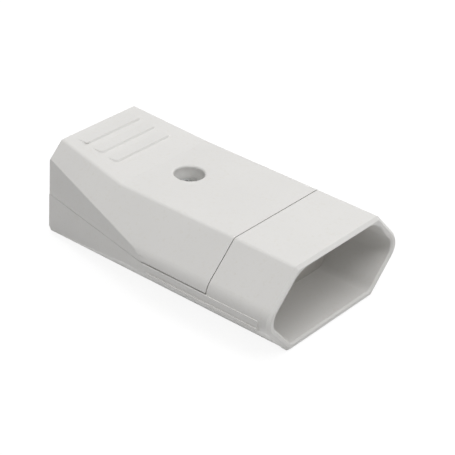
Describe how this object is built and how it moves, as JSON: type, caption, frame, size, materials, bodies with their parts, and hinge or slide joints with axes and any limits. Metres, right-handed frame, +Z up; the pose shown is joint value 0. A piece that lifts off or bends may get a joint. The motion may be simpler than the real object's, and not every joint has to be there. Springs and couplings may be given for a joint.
{
  "type": "inline socket connector",
  "caption": "Flat six-sided inline socket with a deep plug recess, three contacts, a screwed cover and a cord clamp, for the end of an extension cord.",
  "frame": {"origin": "middle of the underside of the housing", "axes": "+Y from the plug mouth to the cord end, +Z up from the flat underside to the cover, +X across"},
  "size_m": [0.0412, 0.0604, 0.0202],
  "materials": {
    "shell_plastic": "satin",
    "carrier_plastic": "satin",
    "brass": "satin",
    "screw_steel": "zinc plated",
    "spring_steel": "satin"
  },
  "bodies": {
    "root": {"lower_shell": "shell_plastic", "upper_cover": "shell_plastic", "cover_screw": "screw_steel", "cover_screw_insert": "brass", "contact_carrier": "carrier_plastic", "contact_retainer": "carrier_plastic", "line_contact": "brass", "neutral_contact": "brass", "earth_contact": "brass", "line_spring_ring": "spring_steel", "neutral_spring_ring": "spring_steel", "earth_spring_ring": "spring_steel", "line_terminal_screw": "screw_steel", "neutral_terminal_screw": "screw_steel", "earth_terminal_screw": "screw_steel", "cord_clamp_bar": "carrier_plastic", "cord_clamp_screw_left": "screw_steel", "cord_clamp_screw_right": "screw_steel", "cord_clamp_insert_left": "brass", "cord_clamp_insert_right": "brass"}
  },
  "joints": []
}
